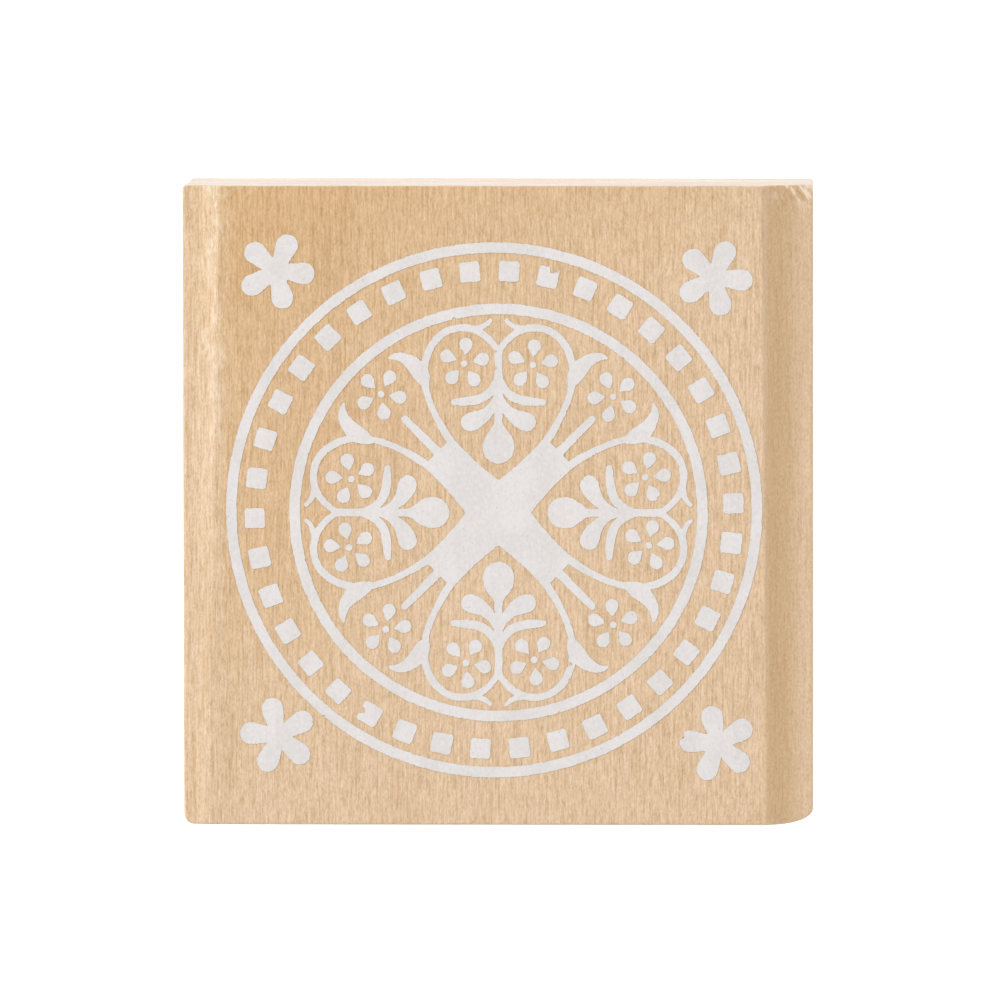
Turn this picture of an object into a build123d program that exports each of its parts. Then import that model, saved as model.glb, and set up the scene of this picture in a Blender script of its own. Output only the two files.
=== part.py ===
from build123d import *
import os
from math import asin, degrees, sqrt

# A wood-mounted craft stamp: a hardwood block, sawn from a moulded strip with a finger cove
# along each long edge, carries a rubber die on a foam cushion. The picture that the die prints
# is also inked on the top face. The stamp stands on its die: z = 0 is the printing face,
# +Z is up to the inked top, +Y runs along the wood's grain.

os.makedirs("parts", exist_ok=True)

# ---------------------------------------------------------------- driving dimensions, mm
# Wood block
block_width = 59.2              # across the strip, X
block_length = 60.0             # sawn along the strip, Y
block_height = 19.5
cove_radius_left = 4.5          # both coves end level at the side wall
cove_radius_right = 5.4
cove_depth_left = (1.6, 0.6)    # at the far (+Y) and near (-Y) end: the strip ran a little askew
cove_depth_right = (2.9, 2.1)
corner_radius_near_left = 0.9   # upright corners, sanded by hand at the near end only
corner_radius_near_right = 1.3
corner_radius_far = 0.4
base_chamfer = 0.3

# Cushion and die, from the block down
film_thickness = 0.1
foam_thickness = 3.0
floor_thickness = 1.3
relief_height = 1.0
cushion_corner_radius = 1.5
cushion_margin = 1.6            # trimmed this far outside the picture
die_setback = 0.15              # the die stands back from the cushion's cut edge

# Print on the top face
ink_thickness = 0.05
print_clearance = 0.05          # from the picture to the narrowest part of the top face
ring_centre = (-0.34, -0.39)    # the print sits slightly off the block's centre

# The picture as drawn, about the outer ring's centre. It is scaled to fit the block.
outer_ring_radius = 25.1
outer_ring_line = 0.97
square_count = 38
square_side = 1.85
square_gap_outer = 0.78         # from the squares to each ring's line
square_gap_inner = 1.9
square_start = 1.7              # degrees
inner_ring_line = 0.99
inner_ring_offset = (0.42, -0.24)           # inner ring and all inside it
scroll_radius = 18.61           # radius of the space that the scrollwork is drawn for
petal_count = 5                 # on every flower
petal_from, petal_to = 0.85, 1.79           # loose petals, from the flower's centre
petal_point, petal_round = 0.05, 0.62       # radii at their inner and outer ends
dot_radius = 0.32
joined_from, joined_to = 0.4, 2.6           # the corner flowers' joined petals
joined_waist, joined_round = 0.62, 1.02
stem_line = 0.74
stem_from, stem_to = 8.4, 15.5
stalk_from, stalk_to = 7.6, 12.4
stalk_foot, stalk_tip = 0.43, 0.34

# ---------------------------------------------------------------- sizes worked out from them
die_top = relief_height + floor_thickness
foam_bottom = die_top + film_thickness
foam_top = foam_bottom + foam_thickness
wood_bottom = foam_top + film_thickness
wood_top = wood_bottom + block_height


def cove_width(radius, depth):
    """Width that a round cove takes off the top face when its outer edge lies level."""
    return sqrt(2 * depth * radius - depth**2)


# Room for the picture, measured in from each side of the block: it stays on the top face where
# the coves are widest, and its cushion stays on the flat of the underside.
cushion_rim = cushion_margin + base_chamfer
rim_left = cove_width(cove_radius_left, max(cove_depth_left)) + print_clearance
rim_right = cove_width(cove_radius_right, max(cove_depth_right)) + print_clearance
room_left = -block_width / 2 + max(rim_left, cushion_rim)
room_right = block_width / 2 - max(rim_right, cushion_rim)
room_near = -block_length / 2 + max(print_clearance, cushion_rim)
room_far = block_length / 2 - max(print_clearance, cushion_rim)

# Each part of the border stands on the one outside it.
square_row_radius = outer_ring_radius - outer_ring_line - square_gap_outer - square_side / 2
inner_ring_radius = square_row_radius - square_side / 2 - square_gap_inner
scroll_scale = (inner_ring_radius - inner_ring_line) / scroll_radius


# ---------------------------------------------------------------- drawing tools
def at(angle, radius, centre=(0, 0)):
    """Point at a radius and an angle in degrees."""
    turned = Vector(radius, 0).rotate(Axis.Z, angle)
    return (centre[0] + turned.X, centre[1] + turned.Y)


def ribbon(points, half_widths):
    """A drawn line that swells and narrows: two smooth sides, closed by round ends."""
    last = len(points) - 1
    left, right, along = [], [], []
    for i, (x, y) in enumerate(points):
        before, after = points[max(i - 1, 0)], points[min(i + 1, last)]
        step = Vector(after[0] - before[0], after[1] - before[1]).normalized()
        left.append((x - step.Y * half_widths[i], y + step.X * half_widths[i]))
        right.append((x + step.Y * half_widths[i], y - step.X * half_widths[i]))
        along.append(step)
    start = Vector(*points[0]) - along[0] * half_widths[0]
    end = Vector(*points[last]) + along[last] * half_widths[last]
    sides = [
        Spline(left),
        ThreePointArc(left[last], (end.X, end.Y), right[last]),
        Spline(right[::-1]),
        ThreePointArc(right[0], (start.X, start.Y), left[0]),
    ]
    return make_face(sides)


def club(angle, start, end, start_radius, end_radius, centre=(0, 0)):
    """A petal: two round ends, start and end from the centre, joined by tangent lines."""
    lean = degrees(asin((end_radius - start_radius) / (end - start)))
    near, far = at(angle, start, centre), at(angle, end, centre)
    near_left = at(angle + 90 + lean, start_radius, near)
    near_right = at(angle - 90 - lean, start_radius, near)
    far_left = at(angle + 90 + lean, end_radius, far)
    far_right = at(angle - 90 - lean, end_radius, far)
    sides = [
        Line(near_left, far_left),
        ThreePointArc(far_left, at(angle, end_radius, far), far_right),
        Line(far_right, near_right),
        ThreePointArc(near_right, at(angle + 180, start_radius, near), near_left),
    ]
    return make_face(sides)


def resized(shape, by):
    """The shape drawn larger or smaller about the picture's centre."""
    place = shape.location
    grown = scale(shape, by=by)
    return grown.locate(Location(place.position * by, place.orientation))


def extent(shapes):
    """Low X, low Y, high X and high Y of all the shapes together."""
    boxes = [shape.bounding_box() for shape in shapes]
    low_x, low_y = min(box.min.X for box in boxes), min(box.min.Y for box in boxes)
    high_x, high_y = max(box.max.X for box in boxes), max(box.max.Y for box in boxes)
    return low_x, low_y, high_x, high_y


# ---------------------------------------------------------------- the picture's shapes
def ring(radius, line):
    return Circle(radius) - Circle(radius - line)


def border_squares():
    turn = 360 / square_count
    place = Pos(square_row_radius, 0)
    squares = []
    for i in range(square_count):
        square = Rectangle(square_side, square_side)
        squares.append(Rot(0, 0, square_start + i * turn) * place * square)
    return squares


def small_flower(centre, angle):
    """Five loose petals, points inward, about a dot."""
    turn = 360 / petal_count
    shapes = [Pos(*centre) * Circle(dot_radius)]
    for i in range(petal_count):
        pointing = angle + i * turn
        shapes.append(club(pointing, petal_from, petal_to, petal_point, petal_round, centre))
    return shapes


def small_flowers():
    """Twelve flowers: two in each heart and one between each pair of hearts."""
    placed = [
        (-3.2, 14.0, 13), (3.2, 13.85, 13),
        (-13.8, 3.15, 30), (-14.0, -3.3, 30),
        (13.75, 3.35, 6), (14.05, -3.05, 6),
        (-3.05, -14.1, 60), (3.35, -13.8, 60),
        (-11.0, 11.1, 63), (10.75, 10.9, 40),
        (10.75, -10.5, 22), (-10.55, -10.95, 8),
    ]
    shapes = []
    for x, y, angle in placed:
        shapes += small_flower((x, y), angle)
    return shapes


def corner_flower(centre, angle):
    """Five club petals that run together in the middle."""
    turn = 360 / petal_count
    petals = []
    for i in range(petal_count):
        pointing = angle + i * turn
        petals.append(club(pointing, joined_from, joined_to, joined_waist, joined_round, centre))
    return petals[0].fuse(*petals[1:])


def corner_flowers():
    placed = [(-20.4, 22.4, 67), (20.6, 21.8, 67), (21.0, -21.9, -41), (-20.2, -21.2, -41)]
    return [corner_flower((x, y), angle) for x, y, angle in placed]


def half_heart():
    """Right half of the upper heart: outline, hook, horn leaf, and the leaves on its stem."""
    outline = ribbon(
        [(3.9, 6.0), (4.6, 6.9), (5.7, 8.75), (6.46, 10.45), (6.93, 12.3), (6.9, 13.9),
         (6.35, 15.5), (5.2, 16.8), (3.6, 17.33), (2.0, 17.05), (0.95, 16.3), (0.05, 15.2)],
        [0.25, 0.36, 0.31, 0.3, 0.31, 0.33, 0.35, 0.34, 0.34, 0.33, 0.3, 0.28])
    hook = ribbon(
        [(2.5, 17.2), (1.6, 17.42), (1.15, 17.63), (0.76, 18.0)],
        [0.28, 0.25, 0.22, 0.19])
    horn = ribbon(
        [(6.85, 12.1), (7.5, 13.4), (8.2, 14.08), (9.25, 14.6), (10.2, 14.5)],
        [0.4, 0.78, 0.64, 0.42, 0.12])
    upper_leaf = ribbon(
        [(0.1, 12.9), (0.4, 11.95), (0.95, 11.15), (1.8, 10.67), (3.1, 10.44), (4.2, 10.36)],
        [0.25, 0.33, 0.4, 0.42, 0.4, 0.28])
    lower_leaf = ribbon(
        [(0.05, 11.2), (0.45, 10.15), (1.1, 9.35), (1.85, 8.83), (2.65, 8.5)],
        [0.33, 0.4, 0.56, 0.78, 0.86])
    return [outline, hook, horn, upper_leaf, lower_leaf]


def heart():
    """A heart with its stem and drop, standing on +Y."""
    stem = Pos(0, (stem_from + stem_to) / 2) * Rectangle(stem_line, stem_to - stem_from)
    drop = ribbon(
        [(0, 8.6), (0, 8.1), (0, 7.5), (0, 6.75), (0, 6.05)],
        [0.33, 0.53, 1.0, 1.38, 1.45])
    shapes = [stem, drop]
    for shape in half_heart():
        shapes += [shape, mirror(shape, about=Plane.YZ)]
    return shapes


def cross():
    """Four broad arms on the diagonals, hollow-sided, each cut square at its end."""
    side = [(0, 3.05), (2.25, 4.93), (3.5, 6.16), (4.33, 7.07)]
    back = [(y, x) for x, y in side[::-1]]
    edges = []
    for quarter in range(4):
        turn = Rot(0, 0, -90 * quarter)
        edges += [turn * Spline(side), turn * Line(side[-1], back[0]), turn * Spline(back)]
    return make_face(edges)


def scrollwork():
    """The cross, a stalk on each arm, and a heart between each pair of arms, all in one."""
    shapes = []
    for quarter in range(4):
        turn = Rot(0, 0, 90 * quarter)
        shapes += [turn * shape for shape in heart()]
        shapes.append(turn * club(45, stalk_from, stalk_to, stalk_foot, stalk_tip))
    return [cross().fuse(*shapes)]


def within_ring(shapes):
    """Fit drawn scrollwork inside the inner ring."""
    return [Pos(*inner_ring_offset) * resized(shape, scroll_scale) for shape in shapes]


drawn = {
    "print_outer_ring": [ring(outer_ring_radius, outer_ring_line)],
    "print_border_squares": border_squares(),
    "print_inner_ring": [Pos(*inner_ring_offset) * ring(inner_ring_radius, inner_ring_line)],
    "print_scrollwork": within_ring(scrollwork()),
    "print_small_flowers": within_ring(small_flowers()),
    "print_corner_flowers": corner_flowers(),
}

# The picture is as large as its room allows on whichever side is tightest.
low_x, low_y, high_x, high_y = extent([shape for shapes in drawn.values() for shape in shapes])
picture_scale = min(
    (room_left - ring_centre[0]) / low_x,
    (room_right - ring_centre[0]) / high_x,
    (room_near - ring_centre[1]) / low_y,
    (room_far - ring_centre[1]) / high_y,
)
picture = {}
for name, shapes in drawn.items():
    picture[name] = [Pos(*ring_centre) * resized(shape, picture_scale) for shape in shapes]


# ---------------------------------------------------------------- the solids
def cove_cutter(side, radius, depths):
    """Round bar along one long edge. side is -1 for left, +1 for right."""
    depth_far, depth_near = depths
    x = side * block_width / 2
    far = Vector(x, block_length / 2, wood_top - depth_far + radius)
    near = Vector(x, -block_length / 2, wood_top - depth_near + radius)
    overrun = (far - near).normalized() * radius
    bar = Plane(origin=near - overrun, z_dir=far - near)
    return extrude(bar * Circle(radius), (far - near).length + 2 * radius)


def footprint():
    """The block from above, each corner with its own rounding."""
    outline = Rectangle(block_width, block_length)
    outline = fillet(outline.vertices().group_by(Axis.Y)[-1], corner_radius_far)
    near_left = outline.vertices().group_by(Axis.Y)[0].sort_by(Axis.X)[0]
    outline = fillet(near_left, corner_radius_near_left)
    near_right = outline.vertices().group_by(Axis.Y)[0].sort_by(Axis.X)[-1]
    return fillet(near_right, corner_radius_near_right)


def wood_block():
    blank = extrude(Pos(0, 0, wood_bottom) * footprint(), block_height)
    blank = chamfer(blank.faces().sort_by(Axis.Z)[0].edges(), base_chamfer)
    blank -= cove_cutter(-1, cove_radius_left, cove_depth_left)
    blank -= cove_cutter(1, cove_radius_right, cove_depth_right)
    return blank


def trimmed_to_picture(setback, bottom, thickness):
    """A layer with the picture's outline box, a margin outside it."""
    low_x, low_y, high_x, high_y = extent([s for shapes in picture.values() for s in shapes])
    width = high_x - low_x + 2 * (cushion_margin - setback)
    length = high_y - low_y + 2 * (cushion_margin - setback)
    centre = Pos((low_x + high_x) / 2, (low_y + high_y) / 2, bottom)
    outline = RectangleRounded(width, length, cushion_corner_radius - setback)
    return extrude(centre * outline, thickness)


def rubber_die():
    floor = trimmed_to_picture(die_setback, relief_height, floor_thickness)
    relief = [extrude(shape, relief_height) for shapes in picture.values() for shape in shapes]
    return floor.fuse(*relief)


nodes = {
    "wood_block": [wood_block()],
    "block_adhesive_film": [trimmed_to_picture(0, foam_top, film_thickness)],
    "foam_cushion": [trimmed_to_picture(0, foam_bottom, foam_thickness)],
    "die_adhesive_film": [trimmed_to_picture(die_setback, die_top, film_thickness)],
    "rubber_die": [rubber_die()],
}
for name, shapes in picture.items():
    nodes[name] = [Pos(0, 0, wood_top) * extrude(shape, ink_thickness) for shape in shapes]

for name, solids in nodes.items():
    whole = solids[0] if len(solids) == 1 else Compound(children=solids)
    export_step(whole, f"parts/{name}.step")
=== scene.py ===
from math import atan2, cos, hypot, pi, radians, sin, sqrt

import bmesh
import bpy
from mathutils import Matrix, Vector, noise


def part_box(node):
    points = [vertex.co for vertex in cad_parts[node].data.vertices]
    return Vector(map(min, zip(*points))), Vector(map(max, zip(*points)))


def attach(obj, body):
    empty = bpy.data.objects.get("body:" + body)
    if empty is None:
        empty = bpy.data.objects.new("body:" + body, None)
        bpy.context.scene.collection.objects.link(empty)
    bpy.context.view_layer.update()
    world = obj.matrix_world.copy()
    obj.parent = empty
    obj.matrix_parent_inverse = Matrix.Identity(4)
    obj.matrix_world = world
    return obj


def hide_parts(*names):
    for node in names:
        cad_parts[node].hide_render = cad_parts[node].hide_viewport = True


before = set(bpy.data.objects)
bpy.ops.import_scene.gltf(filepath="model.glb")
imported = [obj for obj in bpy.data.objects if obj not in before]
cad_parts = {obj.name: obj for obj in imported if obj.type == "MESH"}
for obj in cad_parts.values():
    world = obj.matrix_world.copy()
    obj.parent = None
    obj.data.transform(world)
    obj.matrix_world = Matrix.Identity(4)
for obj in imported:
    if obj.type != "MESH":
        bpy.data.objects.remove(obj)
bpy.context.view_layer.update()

# ---------------------------------------------------------------- wood block
# A short length sawn off a planed hardwood strip. The moulder ran a finger cove along each
# long edge, a little askew, and the sawn edges were eased by hand with sandpaper. Bare wood.
mm = 0.001
block_low, block_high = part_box("wood_block")
block_points = [v.co.copy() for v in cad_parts["wood_block"].data.vertices]


def cove_at(side, end):
    """Inset of the arris and depth of the ledge at one end: side and end are -1 or 1."""
    end_y = block_high.y if end > 0 else block_low.y
    wall_x = block_high.x if side > 0 else block_low.x
    top = [p for p in block_points if p.z > block_high.z - 0.01 * mm and abs(p.y - end_y) < 0.02 * mm]
    wall = [p for p in block_points if abs(p.x - wall_x) < 0.02 * mm and p.y * end > 0]
    inset = min(abs(wall_x - p.x) for p in top)
    depth = block_high.z - max(p.z for p in wall)
    return inset, depth


def between(a, b, t):
    return a + (b - a) * t


cove_near = {side: cove_at(side, -1) for side in (-1, 1)}
cove_far = {side: cove_at(side, 1) for side in (-1, 1)}
arris_ease = 0.2 * mm               # how softly the top runs over into a cove
edge_ease = {"far": 0.12 * mm, "near": 0.3 * mm, "side": 0.3 * mm}
corner_radii = {                    # by side and end: across the grain, and along it
    (-1, -1): (0.9 * mm, 1.1 * mm), (1, -1): (3.2 * mm, 1.5 * mm),
    (-1, 1): (0.4 * mm, 0.4 * mm), (1, 1): (0.3 * mm, 0.3 * mm),
}
taper_left, taper_right = 0.0045, 0.003  # shares by which the strip narrows toward one end
foot_ease = 0.3 * mm                # the sawn underside edge is knocked off


def smooth_min(a, b, blend):
    """The lower of two heights, with the corner between them rounded."""
    mix = max(blend - abs(a - b), 0.0) / blend
    return min(a, b) - mix * mix * blend / 4


def rounded_drop(distance, radius):
    """How far a rounded edge falls at a distance inside it."""
    if distance >= radius:
        return 0.0
    return radius - sqrt(max(radius**2 - (radius - distance) ** 2, 0.0))


def cove_height(side, x, t):
    """Height of a round cove's surface below the top, rising above the top past its arris."""
    inset, depth = (between(a, b, t) for a, b in zip(cove_near[side], cove_far[side]))
    radius = (inset**2 + depth**2) / (2 * depth)
    run = min(abs((block_high.x if side > 0 else block_low.x) - x), radius * 0.98)
    return radius - sqrt(radius**2 - run**2) - depth


def top_height(x, y):
    """Height of the planed and sanded upper surface."""
    t = (y - block_low.y) / (block_high.y - block_low.y)
    height = 0.0
    for side in (-1, 1):
        wander = 0.06 * mm * noise.noise(Vector((side * 3, y / (6 * mm), 0)))
        height = smooth_min(height, cove_height(side, x, t) + wander, arris_ease)
    waves = noise.noise(Vector((x / (2.2 * mm), y / (14 * mm), 4)))
    height -= 0.008 * mm * (1 + waves)
    height -= rounded_drop(block_high.y - y, edge_ease["far"])
    height -= rounded_drop(y - block_low.y, edge_ease["near"])
    height -= rounded_drop(block_high.x - x, edge_ease["side"])
    height -= rounded_drop(x - block_low.x, edge_ease["side"])
    return block_high.z + min(height, 0.0)


def spaced(low, high, step, dense):
    """Positions from low to high, closer together around each (place, reach, step) of dense."""
    places = [low]
    while places[-1] < high - 1e-9:
        here = places[-1]
        steps = [step] + [fine for place, reach, fine in dense if abs(here - place) < reach]
        places.append(min(here + min(steps), high))
    return places


def round_corner(x, y):
    """Pull a point of the square outline in to the sanded upright corner."""
    side, end = (1 if x > 0 else -1), (1 if y > 0 else -1)
    radius_x, radius_y = corner_radii[side, end]
    centre_x = (block_high.x if side > 0 else block_low.x) - side * radius_x
    centre_y = (block_high.y if end > 0 else block_low.y) - end * radius_y
    u, v = (x - centre_x) * side / radius_x, (y - centre_y) * end / radius_y
    if u <= 0 or v <= 0:
        return x, y
    return (centre_x + side * radius_x * u * sqrt(1 - v * v / 2),
            centre_y + end * radius_y * v * sqrt(1 - u * u / 2))


def askew(x, y):
    """The strip's sides were not planed quite square to the saw cut."""
    t = (y - block_low.y) / (block_high.y - block_low.y)
    if x < 0:
        return x * (1 - taper_left * (1 - t)), y
    return x * (1 - taper_right * t), y


def plain_mesh(name, points, faces, smooth=True):
    mesh = bpy.data.meshes.new(name)
    mesh.from_pydata(points, [], faces)
    mesh.validate()
    mesh.polygons.foreach_set("use_smooth", [smooth] * len(mesh.polygons))
    piece = bpy.data.objects.new(name, mesh)
    bpy.context.scene.collection.objects.link(piece)
    return piece


def make_block():
    left, right = cove_near[-1][0], cove_near[1][0]
    left_far, right_far = cove_far[-1][0], cove_far[1][0]
    dense_x = [
        (block_low.x, 0.6 * mm, 0.06 * mm), (block_high.x, 0.9 * mm, 0.06 * mm),
        (block_low.x + (left + left_far) / 2, 1.2 * mm, 0.1 * mm),
        (block_high.x - (right + right_far) / 2, 1.1 * mm, 0.1 * mm),
        (block_low.x, 4.5 * mm, 0.2 * mm), (block_high.x, 5.5 * mm, 0.2 * mm),
    ]
    dense_y = [(block_low.y, 1.6 * mm, 0.08 * mm), (block_high.y, 0.7 * mm, 0.06 * mm)]
    xs = spaced(block_low.x, block_high.x, 0.45 * mm, dense_x)
    ys = spaced(block_low.y, block_high.y, 0.45 * mm, dense_y)
    points, faces = [], []
    for y in ys:
        for x in xs:
            px, py = askew(*round_corner(x, y))
            points.append((px, py, top_height(x, y)))
    wide = len(xs)
    for j in range(len(ys) - 1):
        for i in range(wide - 1):
            a = j * wide + i
            faces.append((a, a + 1, a + 1 + wide, a + wide))
    rim = list(range(wide))
    rim += [j * wide + wide - 1 for j in range(1, len(ys))]
    rim += [(len(ys) - 1) * wide + i for i in range(wide - 2, -1, -1)]
    rim += [j * wide for j in range(len(ys) - 2, 0, -1)]
    levels = [1 - i / 20 for i in range(1, 20)] + [0.018, 0.015, 0.008, 0.0]
    above = rim
    for level in levels:
        ring = []
        for k in rim:
            x, y, top = points[k]
            z = between(block_low.z, top, level)
            inward = max(0.0, foot_ease - (z - block_low.z))
            if 0 < level:
                place = Vector((x / (1.5 * mm), y / (9 * mm), z / (0.5 * mm)))
                inward += 0.012 * mm * abs(noise.noise(place))
            ring.append(len(points))
            points.append((x * (1 - inward / block_high.x), y * (1 - inward / block_high.y), z))
        for k in range(len(rim)):
            n = (k + 1) % len(rim)
            faces.append((above[k], ring[k], ring[n], above[n]))
        above = ring
    faces.append(tuple(reversed(above)))
    return plain_mesh("sawn_block", points, faces)


class Nodes:
    """Short hand for building a material's node tree."""

    def __init__(self, name):
        self.material = bpy.data.materials.new(name)
        self.material.use_nodes = True
        self.tree = self.material.node_tree
        self.shader = self.tree.nodes["Principled BSDF"]

    def add(self, kind, inputs=None, **settings):
        node = self.tree.nodes.new(kind)
        for key, value in settings.items():
            setattr(node, key, value)
        for key, value in (inputs or {}).items():
            self.put(node.inputs[key], value)
        return node

    def put(self, socket, value):
        if isinstance(value, bpy.types.NodeSocket):
            self.tree.links.new(value, socket)
        else:
            socket.default_value = value

    def place(self, stretch):
        """Object coordinates in millimetres, stretched."""
        coords = self.add("ShaderNodeTexCoord")
        scale = [1000 * s for s in stretch]
        inputs = {"Vector": coords.outputs["Object"], "Scale": scale}
        return self.add("ShaderNodeMapping", inputs).outputs[0]

    def noise(self, stretch, detail=3, rough=0.55, distortion=0.0):
        inputs = {"Vector": self.place(stretch), "Scale": 1.0, "Detail": detail,
                  "Roughness": rough, "Distortion": distortion}
        return self.add("ShaderNodeTexNoise", inputs).outputs["Fac"]

    def ramp(self, value, low, high, to_low=0.0, to_high=1.0):
        inputs = {"Value": value, "From Min": low, "From Max": high,
                  "To Min": to_low, "To Max": to_high}
        return self.add("ShaderNodeMapRange", inputs, interpolation_type="SMOOTHSTEP").outputs[0]

    def mix(self, amount, a, b, way="MIX"):
        node = self.add("ShaderNodeMix", data_type="RGBA", blend_type=way)
        self.put(node.inputs[0], amount)
        self.put(node.inputs[6], a)
        self.put(node.inputs[7], b)
        return node.outputs[2]

    def math(self, way, a, b):
        node = self.add("ShaderNodeMath", operation=way)
        self.put(node.inputs[0], a)
        self.put(node.inputs[1], b)
        return node.outputs[0]

    def bump(self, height, distance, strength=1.0, after=None):
        inputs = {"Height": height, "Distance": distance, "Strength": strength}
        if after:
            inputs["Normal"] = after
        return self.add("ShaderNodeBump", inputs).outputs[0]


def colour(red, green, blue):
    """Screen colour, 0 to 255, as the linear colour that a shader takes."""
    parts = [c / 255 for c in (red, green, blue)]
    linear = [c / 12.92 if c <= 0.04045 else ((c + 0.055) / 1.055) ** 2.4 for c in parts]
    return (*linear, 1.0)


def wood_material():
    """Long grain: fine short fibres along Y over faint bands, a deeper gold toward the far left, and
    painted shade and light on the coves.

    Lengths in the node tree are millimetres, and the scales of its noises are per millimetre.
    """
    m = Nodes("bare_hardwood")
    across = m.add("ShaderNodeSeparateXYZ", {0: m.place((1, 1, 1))}).outputs
    drift = m.math("ADD", m.math("MULTIPLY", across[0], -0.9), across[1])
    wander = m.ramp(m.noise((0.05, 0.03, 0.05)), 0.3, 0.7, -7, 7)
    golden_with_painted_cove_light = m.ramp(m.math("ADD", drift, wander), -12, 52)
    # Painted shade and light on the coves: the right-hand cove is painted darker and more golden as
    # shade, its outer edge paler as painted bounce light, and the left-hand cove paler as painted light
    # from the left.
    golden_with_painted_cove_light = m.math("ADD", golden_with_painted_cove_light, m.ramp(across[0], 24.6, 25.6, 0.0, 0.75))
    golden_with_painted_cove_light = m.math("SUBTRACT", golden_with_painted_cove_light, m.ramp(across[0], 26.5, 29.0, 0.0, 0.8))
    golden_with_painted_cove_light = m.math("SUBTRACT", golden_with_painted_cove_light, m.ramp(across[0], -25.0, -26.6, 0.0, 0.8))
    clamped = m.add("ShaderNodeClamp", {0: golden_with_painted_cove_light})
    tone = m.mix(clamped.outputs[0], colour(200, 174, 144), colour(193, 160, 119))
    fibres = m.noise((5.0, 0.6, 5.0), detail=3, rough=0.7)
    lines = m.noise((4.2, 0.11, 4.2), detail=3, rough=0.7)
    mottle = m.noise((1.5, 0.9, 1.5), detail=3, rough=0.7)
    streaks = m.noise((0.9, 0.07, 0.9), detail=3, rough=0.6, distortion=0.2)
    bands = m.noise((0.16, 0.012, 0.16), detail=2, distortion=0.4)
    blush = m.noise((0.3, 0.09, 0.3), detail=2)
    pores = m.noise((5.2, 0.8, 5.2), detail=1)
    flecks = m.noise((3.6, 0.8, 3.6), detail=1, rough=0.3)
    # The cutter left the right-hand cove smoother than the sanded top.
    cut_smooth = m.ramp(across[0], 24.4, 25.2, 1.0, 0.45)
    for value, low, high, amount, tint in [
        (fibres, 0.5, 0.66, 0.75, (0.82, 0.75, 0.64, 1.0)),
        (fibres, 0.5, 0.34, 0.75, (1.12, 1.15, 1.22, 1.0)),
        (lines, 0.5, 0.66, 0.9, (0.87, 0.83, 0.75, 1.0)),
        (lines, 0.5, 0.34, 0.8, (1.08, 1.09, 1.12, 1.0)),
        (mottle, 0.5, 0.66, 0.4, (0.92, 0.88, 0.82, 1.0)),
        (streaks, 0.5, 0.7, 0.4, (0.93, 0.89, 0.83, 1.0)),
        (bands, 0.45, 0.68, 0.5, (0.95, 0.92, 0.88, 1.0)),
        (blush, 0.52, 0.72, 0.5, (1.0, 0.96, 0.93, 1.0)),
        (pores, 0.68, 0.76, 0.45, (0.76, 0.67, 0.56, 1.0)),
        (flecks, 0.68, 0.76, 0.6, (1.12, 1.16, 1.24, 1.0)),
    ]:
        share = m.math("MULTIPLY", m.ramp(value, low, high, 0.0, amount), cut_smooth)
        tone = m.mix(share, tone, m.mix(1.0, tone, tint, "MULTIPLY"))
    grit = m.noise((7.5, 3.2, 7.5), detail=2, rough=0.6)
    for far_end, tint in [(0.66, (0.9, 0.86, 0.8, 1.0)), (0.34, (1.07, 1.08, 1.11, 1.0))]:
        tone = m.mix(m.ramp(grit, 0.5, far_end), tone, m.mix(1.0, tone, tint, "MULTIPLY"))
    # A few small dark mineral specks.
    specks = m.add("ShaderNodeTexVoronoi", {"Vector": m.place((0.3, 0.2, 0.3)), "Scale": 1.0})
    speck = m.ramp(specks.outputs["Distance"], 0.042, 0.02, 0.0, 0.55)
    rare = m.math("GREATER_THAN", specks.outputs["Color"], 0.62)
    tone = m.mix(m.math("MULTIPLY", speck, rare), tone, colour(150, 98, 66))
    # A wavering line of torn grain along the left-hand cove's arris.
    torn_line = 27.05
    torn = m.math("ADD", across[0], m.math("MULTIPLY", across[1], -0.029))
    torn = m.math("ADD", torn, m.ramp(m.noise((0.4, 0.28, 0.4), detail=3), 0.3, 0.7, -0.9, 0.9))
    line = m.ramp(m.math("ABSOLUTE", m.math("ADD", torn, torn_line), 0.0), 0.85, 0.1)
    patchy = m.ramp(m.noise((3.2, 1.1, 3.2), detail=3, rough=0.7), 0.36, 0.66)
    line = m.math("MULTIPLY", m.math("MULTIPLY", line, patchy), m.ramp(across[1], -8, 22, 0.2, 0.75))
    tone = m.mix(line, tone, colour(214, 198, 173))
    # Fibres dragged aslant by the saw at the far end of the right-hand cove.
    aslant = {"Vector": m.place((1, 1, 1)), "Angle": -0.52}
    aslant = m.add("ShaderNodeVectorRotate", aslant, rotation_type="Z_AXIS").outputs[0]
    aslant = {0: aslant, 1: (2.4, 0.5, 2.4)}
    aslant = m.add("ShaderNodeVectorMath", aslant, operation="MULTIPLY").outputs[0]
    combed = m.add("ShaderNodeTexNoise", {"Vector": aslant, "Scale": 1.0}).outputs["Fac"]
    worn = m.math("MULTIPLY", m.ramp(across[0], 24.6, 27.2), m.ramp(across[1], 27.4, 29.4))
    worn = m.math("MULTIPLY", worn, m.ramp(across[2], 20.8, 21.8))
    pale = m.math("MULTIPLY", worn, m.ramp(combed, 0.5, 0.62, 0.0, 0.85))
    dark = m.math("MULTIPLY", worn, m.ramp(combed, 0.46, 0.36, 0.0, 0.7))
    tone = m.mix(dark, m.mix(pale, tone, colour(222, 205, 186)), colour(176, 134, 96))
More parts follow.
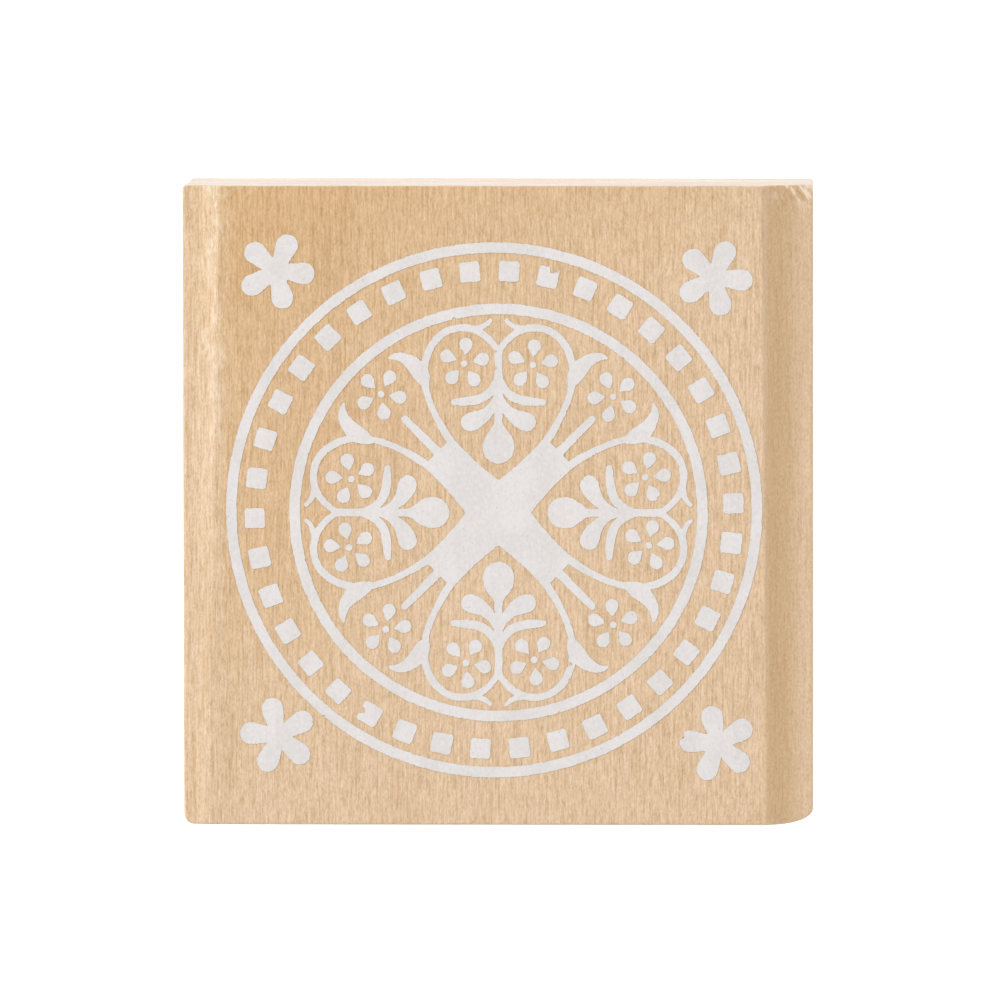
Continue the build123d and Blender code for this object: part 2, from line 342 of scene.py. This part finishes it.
    # Below the coves the side walls are a shade darker than the top.
    planed = m.ramp(across[2], 21.4, 22.4, 0.86, 1.0)
    shade = m.add("ShaderNodeCombineColor", {0: planed, 1: planed, 2: planed}).outputs[0]
    tone = m.mix(1.0, tone, shade, "MULTIPLY")
    m.put(m.shader.inputs["Base Color"], tone)
    m.put(m.shader.inputs["Roughness"], m.ramp(streaks, 0.3, 0.7, 0.5, 0.66))
    m.shader.inputs["Specular IOR Level"].default_value = 0.3
    m.shader.inputs["Sheen Weight"].default_value = 0.08
    coarse = m.bump(streaks, 0.03 * mm, 0.6)
    m.put(m.shader.inputs["Normal"], m.bump(fibres, 0.03 * mm, 0.8, after=coarse))
    return m.material


def end_grain_material():
    """Cross-cut ends: growth rings seen end on, saw marks across them, and chalky wood dust."""
    m = Nodes("sawn_end_grain")
    pith = (21.0, 0.0, -34.0)       # the tree's middle, in millimetres
    ring_width = 2.3
    from_pith = m.add("ShaderNodeVectorMath", operation="SUBTRACT")
    m.put(from_pith.inputs[0], m.place((1, 0, 1)))
    from_pith.inputs[1].default_value = pith
    reach = m.add("ShaderNodeVectorMath", operation="LENGTH")
    m.put(reach.inputs[0], from_pith.outputs[0])
    uneven = m.ramp(m.noise((0.035, 0.0, 0.035), detail=1, rough=0.3), 0.3, 0.7, -2.2, 2.2)
    years = m.math("ADD", reach.outputs["Value"], uneven)
    rings = m.add("ShaderNodeMath", {0: years, 1: ring_width}, operation="MODULO").outputs[0]
    late = m.ramp(rings, 1.2, 2.2, 0.0, 0.6)
    saw = m.noise((0.06, 0.0, 3.4), detail=3, rough=0.6)
    passes = m.noise((0.035, 0.0, 0.2), detail=3, rough=0.7)
    vessels = m.noise((4.6, 0.0, 4.6), detail=2, rough=0.6)
    dust = m.noise((0.9, 0.0, 1.1), detail=4, rough=0.75)
    tone = m.mix(late, colour(182, 163, 143), colour(162, 136, 111))
    tone = m.mix(m.ramp(vessels, 0.52, 0.66, 0.0, 0.55), tone, colour(136, 110, 84))
    tone = m.mix(m.ramp(vessels, 0.46, 0.34, 0.0, 0.4), tone, colour(206, 195, 181))
    tone = m.mix(m.ramp(dust, 0.5, 0.68, 0.0, 0.35), tone, colour(202, 195, 189))
    tone = m.mix(m.ramp(passes, 0.44, 0.6, 0.0, 0.3), tone, colour(206, 200, 193))
    tone = m.mix(m.ramp(saw, 0.52, 0.6, 0.0, 0.28), tone, colour(210, 204, 197))
    m.put(m.shader.inputs["Base Color"], tone)
    m.shader.inputs["Roughness"].default_value = 0.75
    m.shader.inputs["Specular IOR Level"].default_value = 0.25
    m.shader.inputs["Sheen Weight"].default_value = 0.2
    m.shader.inputs["Sheen Roughness"].default_value = 0.6
    kerf = m.bump(saw, 0.12 * mm, 0.8)
    m.put(m.shader.inputs["Normal"], m.bump(vessels, 0.05 * mm, 0.6, after=kerf))
    return m.material


block = make_block()
block.data.materials.append(wood_material())
block.data.materials.append(end_grain_material())
for face in block.data.polygons:
    if abs(face.normal.y) > 0.8:
        face.material_index = 1
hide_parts("wood_block")
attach(block, "root")

# ---------------------------------------------------------------- index print
# The die's own picture, printed on the sanded top face in white ink so that the user sees what
# the stamp prints. The ink lies in a thin film, creeps along the grain and chips at its edges.
sharp_turn = 0.5                    # radians: a turn sharper than this is a drawn corner
outline_step = 0.1 * mm
ragged = 0.065 * mm                 # how far the ink's edge strays
ink_spread = 0.008 * mm             # the ink is squeezed out a little past the die's outline
ink_film = 0.05 * mm
# Places on an ink edge where it has chipped or never took: x, y and radius in millimetres, and
# the direction in degrees from there into the ink.
chips = [
    (5.12, 22.12, 0.3, -98), (5.5, 22.1, 0.24, -98), (-12.72, -19.2, 0.3, -27),
    (17.12, -21.54, 0.36, -8), (-0.26, 15.0, 0.2, 0), (-0.2, 14.5, 0.13, 0),
    (-0.26, 12.94, 0.18, 0), (6.72, -14.9, 0.27, 8), (-11.5, 21.92, 0.12, -63),
    (-4.08, 17.55, 0.16, 103), (11.5, 15.08, 0.13, 53), (23.45, 2.44, 0.13, 0),
    (15.1, 0.8, 0.15, 150),
]


def chipped(x, y):
    """Move a point of an ink edge out of any chip that it lies in."""
    for chip_x, chip_y, radius, degrees in chips:
        into = Vector((cos(radians(degrees)), sin(radians(degrees))))
        away = Vector((x - chip_x * mm, y - chip_y * mm))
        rough = 1 + 0.3 * noise.noise(Vector((x, y, 0)) / (0.13 * mm))
        across, along = away.x * into.y - away.y * into.x, away.dot(into)
        reach = radius * mm * rough
        if abs(across) < reach and abs(along) < reach:
            push = max(0.0, sqrt(reach**2 - across**2) - along)
            x, y = x + push * into.x, y + push * into.y
    return x, y


def top_loops(node_name):
    """The outlines of a flat CAD node's upper face, as closed lists of (x, y)."""
    mesh = bmesh.new()
    mesh.from_mesh(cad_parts[node_name].data)
    bmesh.ops.remove_doubles(mesh, verts=mesh.verts, dist=0.0005 * mm)
    high = max(v.co.z for v in mesh.verts) - 0.01 * mm
    following = {}
    for face in mesh.faces:
        if all(v.co.z > high for v in face.verts):
            for loop in face.loops:
                other = [f for f in loop.edge.link_faces if f != face]
                if not all(v.co.z > high for f in other for v in f.verts):
                    following[loop.vert] = loop.link_loop_next.vert
    loops = []
    while following:
        start, vert = following.popitem()
        ring = [start.co.copy()]
        while vert is not start:
            ring.append(vert.co.copy())
            vert = following.pop(vert)
        loops.append([(p.x, p.y) for p in ring])
    mesh.free()
    return loops


def turn_at(before, here, after):
    first = atan2(here[1] - before[1], here[0] - before[0])
    second = atan2(after[1] - here[1], after[0] - here[0])
    return abs((second - first + pi) % (2 * pi) - pi)


def finely(ring, step):
    """The outline again in short even steps: curved between its points, sharp at its corners."""
    count = len(ring)
    corner = [turn_at(ring[i - 1], ring[i], ring[(i + 1) % count]) > sharp_turn for i in range(count)]
    fine = []
    for i in range(count):
        a, b = Vector(ring[i]), Vector(ring[(i + 1) % count])
        before, after = Vector(ring[i - 1]), Vector(ring[(i + 2) % count])
        gap = (b - a).length
        from_a = (b - a) if corner[i] else (b - before).normalized() * gap
        to_b = (b - a) if corner[(i + 1) % count] else (after - a).normalized() * gap
        parts = max(1, round(gap / step))
        for k in range(parts):
            t = k / parts
            point = (2 * t**3 - 3 * t**2 + 1) * a + (t**3 - 2 * t**2 + t) * from_a
            point += (-2 * t**3 + 3 * t**2) * b + (t**3 - t**2) * to_b
            fine.append((point.x, point.y))
    return fine


def crept(ring):
    """The outline as the ink dried: corners softened, edges uneven by a hair along the grain."""
    for _ in range(2):
        soft = []
        for i, here in enumerate(ring):
            ahead = Vector(ring[(i + 1) % len(ring)])
            soft.append(tuple((Vector(ring[i - 1]) + 2 * Vector(here) + ahead) / 4))
        ring = soft
    moved = []
    for i, (x, y) in enumerate(ring):
        back, ahead = ring[i - 1], ring[(i + 1) % len(ring)]
        along = Vector((ahead[0] - back[0], ahead[1] - back[1])).normalized()
        out = Vector((along.y, -along.x))
        fine = noise.noise(Vector((x / (0.13 * mm), y / (0.3 * mm), 1)))
        slow = noise.noise(Vector((x / (0.8 * mm), y / (0.9 * mm), 7)))
        bite = max(0.0, noise.noise(Vector((x / (0.35 * mm), y / (0.35 * mm), 12))) - 0.42)
        shift = ragged * (fine * (0.5 + 0.6 * abs(out.y)) + 0.6 * slow - 4.0 * bite) + ink_spread
        moved.append(chipped(x + out.x * shift, y + out.y * shift))
    return moved


class Growth:
    """Short hand for building a geometry node tree with named inputs."""

    def __init__(self, name, **inputs):
        self.tree = bpy.data.node_groups.new(name, "GeometryNodeTree")
        face = self.tree.interface
        face.new_socket("Geometry", in_out="OUTPUT", socket_type="NodeSocketGeometry")
        face.new_socket("Geometry", in_out="INPUT", socket_type="NodeSocketGeometry")
        for label, kind in inputs.items():
            face.new_socket(label, in_out="INPUT", socket_type="NodeSocket" + kind)
        self.given = self.add("NodeGroupInput").outputs

    def add(self, kind, inputs=None, **settings):
        node = self.tree.nodes.new(kind)
        for key, value in settings.items():
            setattr(node, key, value)
        for key, value in (inputs or {}).items():
            if isinstance(value, bpy.types.NodeSocket):
                self.tree.links.new(value, node.inputs[key])
            else:
                node.inputs[key].default_value = value
        return node

    def math(self, way, *values):
        return self.add("ShaderNodeMath", dict(enumerate(values)), operation=way).outputs[0]

    def vector(self, **parts):
        return self.add("ShaderNodeCombineXYZ", parts).outputs[0]

    def slab(self, curves, mode):
        """A closed slab, its underside at z = 0, on the area that the curves enclose."""
        sheet = self.add("GeometryNodeFillCurve", {"Curve": curves}, mode=mode).outputs[0]
        upper = {"Mesh": sheet, "Offset Scale": self.given["Thickness"], "Individual": False}
        joined = self.add("GeometryNodeJoinGeometry")
        under = self.add("GeometryNodeFlipFaces", {"Mesh": sheet}).outputs[0]
        self.tree.links.new(self.add("GeometryNodeExtrudeMesh", upper).outputs[0], joined.inputs[0])
        self.tree.links.new(under, joined.inputs[0])
        merge = {"Geometry": joined.outputs[0], "Distance": 0.0002 * mm}
        return self.add("GeometryNodeMergeByDistance", merge).outputs[0]

    def finish(self, geometry):
        solid = self.add("GeometryNodeRealizeInstances", {"Geometry": geometry}).outputs[0]
        inked = {"Geometry": solid, "Material": self.given["Ink"]}
        self.add("NodeGroupOutput", {0: self.add("GeometryNodeSetMaterial", inked).outputs[0]})
        return self.tree


def grown(name, tree, start, values):
    """The plain mesh that a tree makes from a starting mesh and its named inputs."""
    holder = bpy.data.objects.new(name, start)
    bpy.context.scene.collection.objects.link(holder)
    modifier = holder.modifiers.new("grow", "NODES")
    modifier.node_group = tree
    for item in tree.interface.items_tree:
        if item.in_out == "INPUT" and item.name in values:
            modifier[item.identifier] = values[item.name]
    bpy.context.view_layer.update()
    seen = holder.evaluated_get(bpy.context.evaluated_depsgraph_get())
    mesh = bpy.data.meshes.new_from_object(seen)
    holder.modifiers.remove(modifier)
    holder.data = mesh
    mesh.name = name
    return holder


def ink_material():
    m = Nodes("white_index_ink")
    grain = m.noise((2.2, 0.12, 2.2), detail=4, rough=0.6)
    cloud = m.noise((0.35, 0.2, 0.35), detail=2)
    specks = m.noise((5.5, 3.0, 5.5), detail=1, rough=0.4)
    thin = m.noise((3.4, 2.4, 3.4), detail=2, rough=0.6)
    tone = m.mix(m.ramp(cloud, 0.35, 0.65), colour(198, 194, 191), colour(204, 200, 198))
    tone = m.mix(m.ramp(grain, 0.55, 0.8, 0.0, 0.35), tone, colour(190, 182, 174))
    tone = m.mix(m.ramp(thin, 0.5, 0.72, 0.0, 0.4), tone, colour(188, 184, 182))
    tone = m.mix(m.ramp(thin, 0.5, 0.3, 0.0, 0.5), tone, colour(212, 206, 203))
    tone = m.mix(m.ramp(specks, 0.71, 0.77, 0.0, 0.5), tone, colour(174, 156, 138))
    m.put(m.shader.inputs["Base Color"], tone)
    m.put(m.shader.inputs["Roughness"], m.ramp(grain, 0.3, 0.7, 0.5, 0.62))
    m.shader.inputs["Specular IOR Level"].default_value = 0.35
    m.put(m.shader.inputs["Normal"], m.bump(grain, 0.01 * mm, 0.4))
    return m.material


def print_piece(node_name, piece, offset=(0, 0)):
    """Set a finished film down on the block's top face in place of its CAD node."""
    whole = bmesh.new()
    whole.from_mesh(piece.data)
    for vert in whole.verts:
        x, y = chipped(vert.co.x + offset[0], vert.co.y + offset[1])
        vert.co = (x, y, vert.co.z + block_high.z)
    bmesh.ops.recalc_face_normals(whole, faces=whole.faces)
    whole.to_mesh(piece.data)
    whole.free()
    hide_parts(node_name)
    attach(piece, "root")


film = Growth("ink_film", Thickness="Float", Ink="Material")
drawn = film.add("GeometryNodeMeshToCurve", {"Mesh": film.given["Geometry"]}).outputs[0]
film_tree = film.finish(film.slab(drawn, "TRIANGLES"))
ink = ink_material()
for part in ["outer_ring", "inner_ring", "scrollwork", "small_flowers", "corner_flowers"]:
    points, edges = [], []
    for loop in top_loops("print_" + part):
        ring = crept(finely(loop, outline_step))
        first = len(points)
        points += [(x, y, 0) for x, y in ring]
        edges += [(first + i, first + (i + 1) % len(ring)) for i in range(len(ring))]
    outlines = bpy.data.meshes.new(part)
    outlines.from_pydata(points, edges, [])
    values = {"Thickness": ink_film, "Ink": ink}
    print_piece("print_" + part, grown("inked_" + part, film_tree, outlines, values))

# ---------------------------------------------------------------- border squares
# The row of printed squares between the two rings. Each was inked a little differently: its
# turn, its size and its edges all vary by a hair.
square_loops = top_loops("print_border_squares")
square_centres = [sum((Vector(p) for p in ring), Vector((0, 0))) / len(ring) for ring in square_loops]
row_centre = sum(square_centres, Vector((0, 0))) / len(square_centres)
row_radius = (square_centres[0] - row_centre).length
first_angle = min(atan2(p.y - row_centre.y, p.x - row_centre.x) % (2 * pi) for p in square_centres)
xs = [p[0] - square_centres[0].x for p in square_loops[0]]
ys = [p[1] - square_centres[0].y for p in square_loops[0]]
square_side = 2 * max(hypot(x, y) for x, y in zip(xs, ys)) / sqrt(2)


def square_row_tree():
    """A ring of small slabs with rounded corners and uneven edges."""
    g = Growth("square_row", Count="Int", Radius="Float", Start="Float", Drift="Float",
               Side="Float", Corner="Float", Step="Float", Thickness="Float", Ragged="Float",
               Turn="Float", Seed="Int", Ink="Material")
    given = g.given
    circle = {"Vertices": given["Count"], "Radius": given["Radius"]}
    circle = g.add("GeometryNodeMeshCircle", circle).outputs[0]
    share = g.math("DIVIDE", g.add("GeometryNodeInputIndex").outputs[0], given["Count"])
    # The squares were spaced by eye: each slips round by an amount that comes and goes.
    once = g.math("COSINE", g.math("MULTIPLY_ADD", share, 2 * pi, 2.27))
    twice = g.math("COSINE", g.math("MULTIPLY_ADD", share, 4 * pi, -0.66))
    by_eye = g.math("MULTIPLY", g.math("MULTIPLY_ADD", once, 0.57, twice), given["Drift"])
    slipped = g.add("ShaderNodeVectorRotate", {
        "Vector": g.add("GeometryNodeInputPosition").outputs[0],
        "Angle": g.math("ADD", given["Start"], by_eye),
    }, rotation_type="Z_AXIS").outputs[0]
    row = {"Geometry": circle, "Position": slipped}
    row = g.add("GeometryNodeSetPosition", row).outputs[0]

    outline = {"Width": given["Side"], "Height": given["Side"]}
    outline = g.add("GeometryNodeCurvePrimitiveQuadrilateral", outline).outputs[0]
    eased = {"Curve": outline, "Radius": given["Corner"], "Count": 3}
    eased = g.add("GeometryNodeFilletCurve", eased, mode="POLY").outputs[0]
    fine = {"Curve": eased, "Length": given["Step"]}
    fine = g.add("GeometryNodeResampleCurve", fine, mode="LENGTH").outputs[0]

    outward = {"Vector": g.add("GeometryNodeInputPosition").outputs[0]}
    facing = g.add("FunctionNodeAlignRotationToVector", outward, axis="X").outputs[0]
    tip = {"Min": g.math("MULTIPLY", given["Turn"], -1.0), "Max": given["Turn"]}
    tip["Seed"] = given["Seed"]
    tip = g.add("FunctionNodeRandomValue", tip).outputs["Value"]
    turned = {"Rotation": facing, "Rotate By": g.vector(Z=tip)}
    turned = g.add("FunctionNodeRotateRotation", turned).outputs[0]
    sizes = {"Min": 1.0, "Max": 1.06, "Seed": given["Seed"]}
    sizes = g.add("FunctionNodeRandomValue", sizes).outputs["Value"]
    placed = g.add("GeometryNodeInstanceOnPoints", {
        "Points": row, "Instance": g.slab(fine, "NGONS"), "Rotation": turned,
        "Scale": g.vector(X=sizes, Y=sizes, Z=1.0)}).outputs[0]
    solid = g.add("GeometryNodeRealizeInstances", {"Geometry": placed}).outputs[0]

    level = {0: g.add("GeometryNodeInputPosition").outputs[0], 1: (1.0, 1.0, 0.0)}
    level = g.add("ShaderNodeVectorMath", level, operation="MULTIPLY").outputs[0]
    grain = {"Vector": level, "Scale": 3200.0, "Detail": 2.0}
    grain = g.add("ShaderNodeTexNoise", grain).outputs["Color"]
    off = {0: grain, 1: (0.5, 0.5, 0.5)}
    off = g.add("ShaderNodeVectorMath", off, operation="SUBTRACT").outputs[0]
    shift = {0: off, 1: g.vector(X=given["Ragged"], Y=given["Ragged"])}
    shift = g.add("ShaderNodeVectorMath", shift, operation="MULTIPLY").outputs[0]
    uneven = {"Geometry": solid, "Offset": shift}
    return g.finish(g.add("GeometryNodeSetPosition", uneven).outputs[0])


squares = grown("inked_border_squares", square_row_tree(), bpy.data.meshes.new("squares"), {
    "Count": len(square_loops), "Radius": row_radius, "Start": first_angle - 0.0024, "Drift": 0.0067,
    "Side": square_side, "Corner": 0.22 * mm, "Step": outline_step, "Thickness": ink_film,
    "Ragged": 0.2 * mm, "Turn": 0.03, "Seed": 5, "Ink": ink})
print_piece("print_border_squares", squares, row_centre)

# ---------------------------------------------------------------- foam cushion
# Soft closed-cell foam, die-cut a little larger than the picture, so that the die prints evenly.
# The cutter squeezed it as it cut, so its sides draw in, and they show opened cells.
foam_low, foam_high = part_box("foam_cushion")
foam_corner = 1.5 * mm
pull_in = 0.28 * mm
cell = 0.55 * mm
cell_depth = 0.11 * mm


def rounded_outline(low, high, radius, step):
    """Points and outward directions around a rectangle with round corners."""
    places = []
    corners = [(high.x, high.y, 0), (low.x, high.y, 1), (low.x, low.y, 2), (high.x, low.y, 3)]
    for k, (x, y, quarter) in enumerate(corners):
        middle = Vector((x - radius * (1 if x > 0 else -1), y - radius * (1 if y > 0 else -1)))
        turns = max(6, round(radius * pi / 2 / step))
        for i in range(turns):
            angle = (quarter + i / turns) * pi / 2
            out = Vector((cos(angle), sin(angle)))
            places.append((middle + out * radius, out))
        end_out = Vector((cos((quarter + 1) * pi / 2), sin((quarter + 1) * pi / 2)))
        here = middle + end_out * radius
        next_x, next_y, _ = corners[(k + 1) % 4]
        there = Vector((next_x - radius * (1 if next_x > 0 else -1),
                        next_y - radius * (1 if next_y > 0 else -1))) + end_out * radius
        parts = round((there - here).length / step)
        places += [(here.lerp(there, i / parts), end_out) for i in range(parts)]
    return places


def make_cushion():
    around = rounded_outline(foam_low, foam_high, foam_corner, 0.25 * mm)
    rows = 14
    points, faces = [], []
    for row in range(rows + 1):
        t = row / rows
        z = between(foam_low.z, foam_high.z, t)
        for place, out in around:
            inward = pull_in * sin(pi * t) ** 0.8
            if 0 < row < rows:
                near = noise.voronoi(Vector((place.x, place.y, z)) / cell)[0][0]
                inward += cell_depth * max(0.0, 1 - (near / 0.42) ** 2)
                inward += 0.05 * mm * noise.noise(Vector((place.x, place.y, z)) / (2.5 * mm))
            points.append((place.x - out.x * inward, place.y - out.y * inward, z))
    wide = len(around)
    for row in range(rows):
        for i in range(wide):
            a, b = row * wide + i, row * wide + (i + 1) % wide
            faces.append((a, b, b + wide, a + wide))
    faces.append(tuple(reversed(range(wide))))
    faces.append(tuple(range(rows * wide, (rows + 1) * wide)))
    return plain_mesh("cut_foam", points, faces)


def foam_material():
    m = Nodes("grey_cell_foam")
    place = m.place((1, 1, 1))
    cells = m.add("ShaderNodeTexVoronoi", {"Vector": place, "Scale": 3.4}, feature="F1")
    walls = m.add("ShaderNodeTexVoronoi", {"Vector": place, "Scale": 6.5}, feature="DISTANCE_TO_EDGE")
    cloud = m.noise((0.3, 0.3, 0.3), detail=2)
    tone = m.mix(m.ramp(cells.outputs["Distance"], 0.1, 0.6), colour(96, 97, 100), colour(128, 129, 132))
    tone = m.mix(m.ramp(walls.outputs["Distance"], 0.0, 0.08, 0.4, 0.0), tone, colour(158, 159, 162))
    tone = m.mix(m.ramp(cloud, 0.35, 0.7, 0.0, 0.25), tone, colour(112, 112, 113))
    m.put(m.shader.inputs["Base Color"], tone)
    m.shader.inputs["Roughness"].default_value = 0.85
    m.shader.inputs["Specular IOR Level"].default_value = 0.25
    m.put(m.shader.inputs["Normal"], m.bump(cells.outputs["Distance"], 0.12 * mm, 0.8))
    return m.material


cushion = make_cushion()
cushion.data.materials.append(foam_material())
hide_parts("foam_cushion")
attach(cushion, "root")

# ---------------------------------------------------------------- adhesive films
# Double-sided tape either side of the cushion: milky and a little yellow.


def tape_material():
    m = Nodes("milky_adhesive")
    cloud = m.noise((0.5, 0.5, 3.0), detail=3)
    fine = m.noise((4.0, 4.0, 4.0), detail=2)
    tone = m.mix(m.ramp(cloud, 0.35, 0.65), colour(214, 208, 190), colour(226, 222, 208))
    tone = m.mix(m.ramp(fine, 0.55, 0.7, 0.0, 0.3), tone, colour(196, 186, 160))
    m.put(m.shader.inputs["Base Color"], tone)
    m.put(m.shader.inputs["Roughness"], m.ramp(fine, 0.3, 0.7, 0.35, 0.55))
    m.shader.inputs["Subsurface Weight"].default_value = 0.1
    m.shader.inputs["Subsurface Scale"].default_value = 0.3 * mm
    return m.material


tape = tape_material()
for name in ["block_adhesive_film", "die_adhesive_film"]:
    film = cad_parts[name]
    film.data.materials.clear()
    film.data.materials.append(tape)

# ---------------------------------------------------------------- rubber die
# One sheet of red stamp rubber with the picture standing on it in relief, pressed in a mould and
# cut out by hand. Its ground is matt from the mould, and its printing face is the smoothest.


def rubber_material():
    m = Nodes("red_stamp_rubber")
    depth = m.add("ShaderNodeSeparateXYZ", {0: m.place((1, 1, 1))}).outputs[2]
    cloud = m.noise((0.12, 0.12, 0.4), detail=3)
    grit = m.noise((6.0, 6.0, 6.0), detail=2)
    bloom = m.noise((0.7, 0.7, 0.7), detail=4, rough=0.65)
    tone = m.mix(m.ramp(cloud, 0.35, 0.65), colour(132, 42, 34), colour(146, 50, 40))
    tone = m.mix(m.ramp(bloom, 0.5, 0.72, 0.0, 0.3), tone, colour(158, 78, 66))
    tone = m.mix(m.ramp(grit, 0.58, 0.75, 0.0, 0.35), tone, colour(112, 34, 28))
    m.put(m.shader.inputs["Base Color"], tone)
    m.put(m.shader.inputs["Roughness"], m.ramp(depth, 0.05, 0.6, 0.42, 0.62))
    m.shader.inputs["Specular IOR Level"].default_value = 0.45
    ground = m.bump(grit, 0.05 * mm, 0.7)
    m.put(m.shader.inputs["Normal"], m.bump(bloom, 0.05 * mm, 0.4, after=ground))
    return m.material


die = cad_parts["rubber_die"]
die.data.materials.clear()
die.data.materials.append(rubber_material())

# ---------------------------------------------------------------- table and light
# A white table, one large soft light up and to the left of the far end, and even room light.
table = -0.02 * mm
table_corners = [(-2, -2, table), (2, -2, table), (2, 2, table), (-2, 2, table)]
floor = plain_mesh("floor", table_corners, [(0, 1, 2, 3)])
m = Nodes("white_table")
table_tone = m.mix(m.noise((0.02, 0.02, 0.02)), colour(243, 243, 243), colour(246, 246, 246))
m.put(m.shader.inputs["Base Color"], table_tone)
m.shader.inputs["Roughness"].default_value = 0.8
m.shader.inputs["Specular IOR Level"].default_value = 0.1
m.shader.inputs["Emission Color"].default_value = (1.0, 1.0, 1.0, 1.0)
m.shader.inputs["Emission Strength"].default_value = 0.6
floor.data.materials.append(m.material)


def soft_light(name, place, size, power):
    lamp = bpy.data.lights.new(name, "AREA")
    lamp.shape = "DISK"
    lamp.size = size
    lamp.energy = power
    light = bpy.data.objects.new(name, lamp)
    light.location = place
    light.rotation_euler = (-Vector(place)).to_track_quat("-Z", "Y").to_euler()
    light.visible_camera = False
    bpy.context.scene.collection.objects.link(light)


soft_light("key", (-0.6, 0.5, 0.8), 0.7, 7.0)
room = bpy.data.worlds.new("room")
room.use_nodes = True
room.node_tree.nodes["Background"].inputs["Color"].default_value = (1.0, 1.0, 1.0, 1.0)
room.node_tree.nodes["Background"].inputs["Strength"].default_value = 0.95
bpy.context.scene.world = room
bpy.context.scene.view_settings.view_transform = "Standard"

# ---------------------------------------------------------------- camera
# Almost straight above the block, beyond its far right corner, with a long lens.
look_at = Vector((0.22 * mm, 0.56 * mm, block_high.z))
stand = Vector((28 * mm, 80 * mm, block_high.z + 1300 * mm))
view_width = 93.65 * mm             # the width that the lens takes in at the block's top
camera_data = bpy.data.cameras.new("camera")
camera_data.sensor_width = 36
camera_data.lens = 36 * (stand - look_at).length / view_width
camera_data.clip_end = 10
camera = bpy.data.objects.new("camera", camera_data)
back = (stand - look_at).normalized()
across = Vector((0, 1, 0)).cross(back).normalized()
camera.matrix_world = Matrix((across, back.cross(across), back)).transposed().to_4x4()
camera.location = stand
bpy.context.scene.collection.objects.link(camera)
bpy.context.scene.camera = camera
